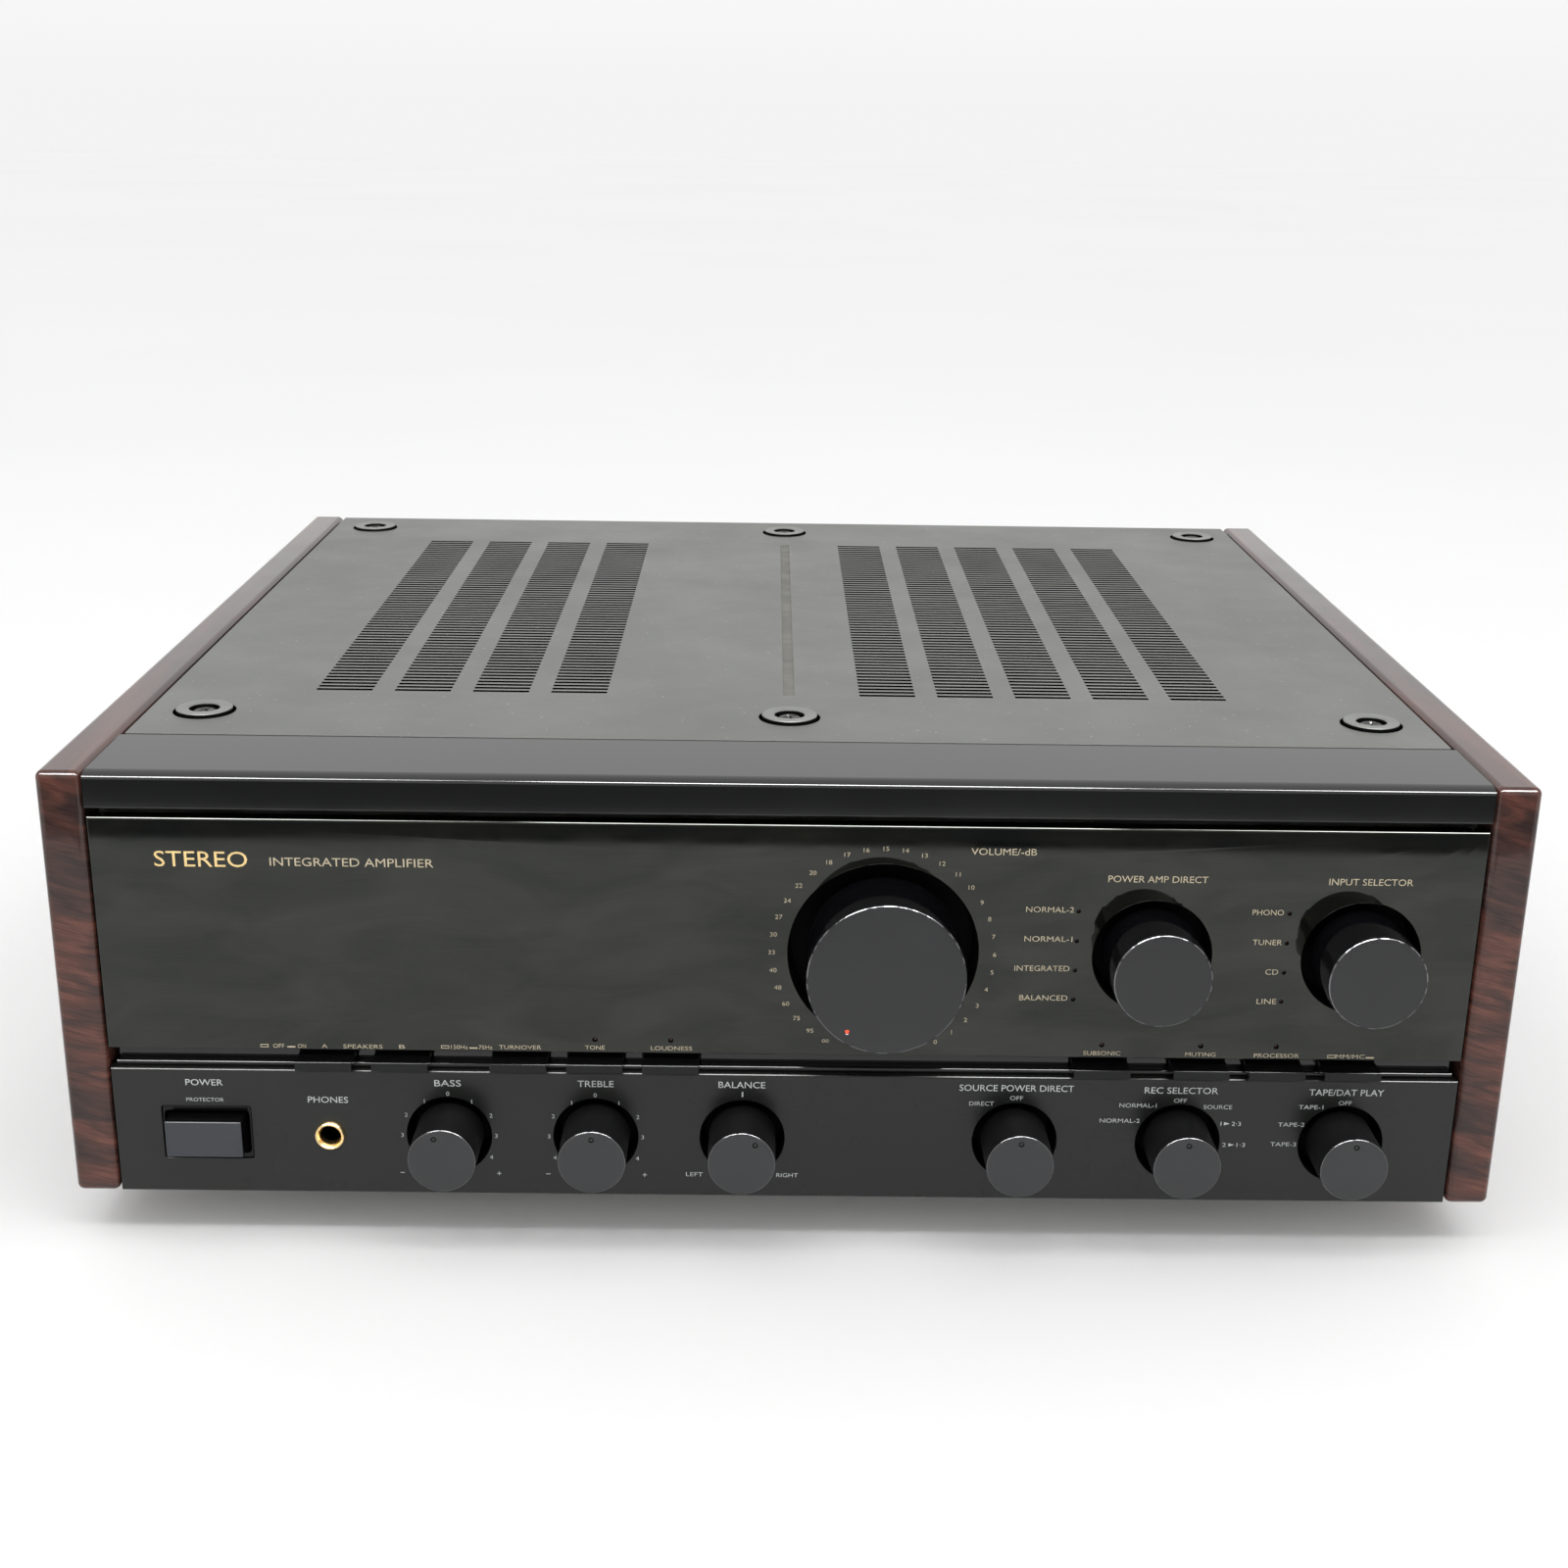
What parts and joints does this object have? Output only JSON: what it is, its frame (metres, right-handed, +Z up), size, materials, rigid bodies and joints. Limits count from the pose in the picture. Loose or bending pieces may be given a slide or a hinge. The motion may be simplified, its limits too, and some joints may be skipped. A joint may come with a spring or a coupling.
{
  "type": "integrated amplifier",
  "caption": "Wide integrated hi-fi amplifier with wooden side panels, gloss fascia, large volume knob, rotary selectors, push keys, vented top cover and rear terminals.",
  "frame": {"origin": "bottom centre of the whole object: on the plane under the feet, midway between its sides and midway between the volume knob's face and the ends of the rear terminal caps", "axes": "+X to the right of a person facing the front, +Y from the front to the back, +Z up"},
  "size_m": [0.466, 0.449, 0.1626],
  "materials": {
    "rosewood": "gloss lacquer over red-brown rosewood figure",
    "cover_paint": "satin dark grey",
    "trim_black": "satin black",
    "fascia_gloss": "high gloss smoked black",
    "fascia_satin": "fine satin black",
    "rail_gloss": "gloss black",
    "knob_large": "gloss black sides, satin dark grey face, polished bevel",
    "knob_small": "matte black sides, satin dark grey face",
    "button_key": "gloss black with grey face",
    "power_grey": "satin blue-grey",
    "jack_gold": "polished gold plate",
    "screw_black": "satin dark grey",
    "foot_black": "moulded black",
    "chassis_steel": "plated sheet",
    "rear_paint": "satin black",
    "socket_black": "moulded black",
    "gland_black": "moulded black",
    "cap_red": "moulded red",
    "cap_black": "moulded black",
    "transformer_can": "satin black",
    "heat_sink": "black anodised",
    "capacitor_sleeve": "shrink sleeve",
    "board_resin": "printed board"
  },
  "bodies": {
    "chassis": {"base_plate": "chassis_steel", "button_rail": "rail_gloss", "capacitor_left": "capacitor_sleeve", "capacitor_right": "capacitor_sleeve", "control_board": "board_resin", "cover_screw_front_centre": "screw_black", "cover_screw_front_left": "screw_black", "cover_screw_front_right": "screw_black", "cover_screw_rear_centre": "screw_black", "cover_screw_rear_left": "screw_black", "cover_screw_rear_right": "screw_black", "foot_front_left": "foot_black", "foot_front_right": "foot_black", "foot_rear_left": "foot_black", "foot_rear_right": "foot_black", "front_subframe": "chassis_steel", "front_trim": "trim_black", "heat_sink_left": "heat_sink", "heat_sink_right": "heat_sink", "line_jack_panel": "socket_black", "lower_fascia": "fascia_satin", "main_board": "board_resin", "main_fascia": "fascia_gloss", "mains_gland": "gland_black", "phones_jack": "jack_gold", "power_transformer": "transformer_can", "rear_panel": "rear_paint", "side_frame_left": "chassis_steel", "side_frame_right": "chassis_steel", "side_panel_left": "rosewood", "side_panel_right": "rosewood", "speaker_terminal_block": "socket_black", "top_cover": "cover_paint"},
    "volume_knob": {"volume_knob": "knob_large"},
    "mode_knob": {"mode_knob": "knob_large"},
    "input_knob": {"input_knob": "knob_large"},
    "bass_knob": {"bass_knob": "knob_small"},
    "treble_knob": {"treble_knob": "knob_small"},
    "balance_knob": {"balance_knob": "knob_small"},
    "direct_knob": {"direct_knob": "knob_small"},
    "record_knob": {"record_knob": "knob_small"},
    "tape_knob": {"tape_knob": "knob_small"},
    "speakers_a_button": {"speakers_a_button": "button_key"},
    "speakers_b_button": {"speakers_b_button": "button_key"},
    "turnover_button": {"turnover_button": "button_key"},
    "tone_button": {"tone_button": "button_key"},
    "loudness_button": {"loudness_button": "button_key"},
    "subsonic_button": {"subsonic_button": "button_key"},
    "muting_button": {"muting_button": "button_key"},
    "processor_button": {"processor_button": "button_key"},
    "cartridge_button": {"cartridge_button": "button_key"},
    "power_button": {"power_button": "power_grey"},
    "terminal_cap_lower_1": {"terminal_cap_lower_1": "cap_black"},
    "terminal_cap_upper_1": {"terminal_cap_upper_1": "cap_red"},
    "terminal_cap_lower_2": {"terminal_cap_lower_2": "cap_black"},
    "terminal_cap_upper_2": {"terminal_cap_upper_2": "cap_red"},
    "terminal_cap_lower_3": {"terminal_cap_lower_3": "cap_black"},
    "terminal_cap_upper_3": {"terminal_cap_upper_3": "cap_red"},
    "terminal_cap_lower_4": {"terminal_cap_lower_4": "cap_black"},
    "terminal_cap_upper_4": {"terminal_cap_upper_4": "cap_red"}
  },
  "joints": [
    {"name": "volume_turn", "type": "hinge", "parent": "chassis", "child": "volume_knob", "pos_m": [0.03, -0.2035, 0.1041], "axis": [0, 1, 0], "range_deg": [0, 300]},
    {"name": "mode_turn", "type": "hinge", "parent": "chassis", "child": "mode_knob", "pos_m": [0.1155, -0.2035, 0.1041], "axis": [0, 1, 0], "range_deg": [-60, 30]},
    {"name": "input_turn", "type": "hinge", "parent": "chassis", "child": "input_knob", "pos_m": [0.182, -0.2035, 0.1041], "axis": [0, 1, 0], "range_deg": [-60, 30]},
    {"name": "bass_turn", "type": "hinge", "parent": "chassis", "child": "bass_knob", "pos_m": [-0.1098, -0.2035, 0.0381], "axis": [0, 1, 0], "range_deg": [-124, 156]},
    {"name": "treble_turn", "type": "hinge", "parent": "chassis", "child": "treble_knob", "pos_m": [-0.062, -0.2035, 0.0381], "axis": [0, 1, 0], "range_deg": [-140, 140]},
    {"name": "balance_turn", "type": "hinge", "parent": "chassis", "child": "balance_knob", "pos_m": [-0.0142, -0.2035, 0.0381], "axis": [0, 1, 0], "range_deg": [-173, 107]},
    {"name": "direct_turn", "type": "hinge", "parent": "chassis", "child": "direct_knob", "pos_m": [0.0749, -0.2035, 0.0381], "axis": [0, 1, 0], "range_deg": [-45, 0]},
    {"name": "record_turn", "type": "hinge", "parent": "chassis", "child": "record_knob", "pos_m": [0.1284, -0.2035, 0.0381], "axis": [0, 1, 0], "range_deg": [-60, 90]},
    {"name": "tape_turn", "type": "hinge", "parent": "chassis", "child": "tape_knob", "pos_m": [0.1819, -0.2035, 0.0381], "axis": [0, 1, 0], "range_deg": [-90, 0]},
    {"name": "speakers_a_press", "type": "slide", "parent": "chassis", "child": "speakers_a_button", "axis": [0, 1, 0], "range_m": [0, 0.003], "stiffness_N_per_m": 500},
    {"name": "speakers_b_press", "type": "slide", "parent": "chassis", "child": "speakers_b_button", "axis": [0, 1, 0], "range_m": [0, 0.003], "stiffness_N_per_m": 500},
    {"name": "turnover_press", "type": "slide", "parent": "chassis", "child": "turnover_button", "axis": [0, 1, 0], "range_m": [0, 0.003], "stiffness_N_per_m": 500},
    {"name": "tone_press", "type": "slide", "parent": "chassis", "child": "tone_button", "axis": [0, 1, 0], "range_m": [0, 0.003], "stiffness_N_per_m": 500},
    {"name": "loudness_press", "type": "slide", "parent": "chassis", "child": "loudness_button", "axis": [0, 1, 0], "range_m": [0, 0.003], "stiffness_N_per_m": 500},
    {"name": "subsonic_press", "type": "slide", "parent": "chassis", "child": "subsonic_button", "axis": [0, 1, 0], "range_m": [0, 0.003], "stiffness_N_per_m": 500},
    {"name": "muting_press", "type": "slide", "parent": "chassis", "child": "muting_button", "axis": [0, 1, 0], "range_m": [0, 0.003], "stiffness_N_per_m": 500},
    {"name": "processor_press", "type": "slide", "parent": "chassis", "child": "processor_button", "axis": [0, 1, 0], "range_m": [0, 0.003], "stiffness_N_per_m": 500},
    {"name": "cartridge_press", "type": "slide", "parent": "chassis", "child": "cartridge_button", "axis": [0, 1, 0], "range_m": [0, 0.003], "stiffness_N_per_m": 500},
    {"name": "power_press", "type": "slide", "parent": "chassis", "child": "power_button", "axis": [0, 1, 0], "range_m": [0, 0.0035], "stiffness_N_per_m": 900},
    {"name": "cap_lower_1_turn", "type": "hinge", "parent": "chassis", "child": "terminal_cap_lower_1", "pos_m": [0.11, 0.209, 0.0485], "axis": [0, 1, 0], "range_deg": [0, 720]},
    {"name": "cap_upper_1_turn", "type": "hinge", "parent": "chassis", "child": "terminal_cap_upper_1", "pos_m": [0.11, 0.209, 0.0785], "axis": [0, 1, 0], "range_deg": [0, 720]},
    {"name": "cap_lower_2_turn", "type": "hinge", "parent": "chassis", "child": "terminal_cap_lower_2", "pos_m": [0.134, 0.209, 0.0485], "axis": [0, 1, 0], "range_deg": [0, 720]},
    {"name": "cap_upper_2_turn", "type": "hinge", "parent": "chassis", "child": "terminal_cap_upper_2", "pos_m": [0.134, 0.209, 0.0785], "axis": [0, 1, 0], "range_deg": [0, 720]},
    {"name": "cap_lower_3_turn", "type": "hinge", "parent": "chassis", "child": "terminal_cap_lower_3", "pos_m": [0.158, 0.209, 0.0485], "axis": [0, 1, 0], "range_deg": [0, 720]},
    {"name": "cap_upper_3_turn", "type": "hinge", "parent": "chassis", "child": "terminal_cap_upper_3", "pos_m": [0.158, 0.209, 0.0785], "axis": [0, 1, 0], "range_deg": [0, 720]},
    {"name": "cap_lower_4_turn", "type": "hinge", "parent": "chassis", "child": "terminal_cap_lower_4", "pos_m": [0.182, 0.209, 0.0485], "axis": [0, 1, 0], "range_deg": [0, 720]},
    {"name": "cap_upper_4_turn", "type": "hinge", "parent": "chassis", "child": "terminal_cap_upper_4", "pos_m": [0.182, 0.209, 0.0785], "axis": [0, 1, 0], "range_deg": [0, 720]}
  ]
}
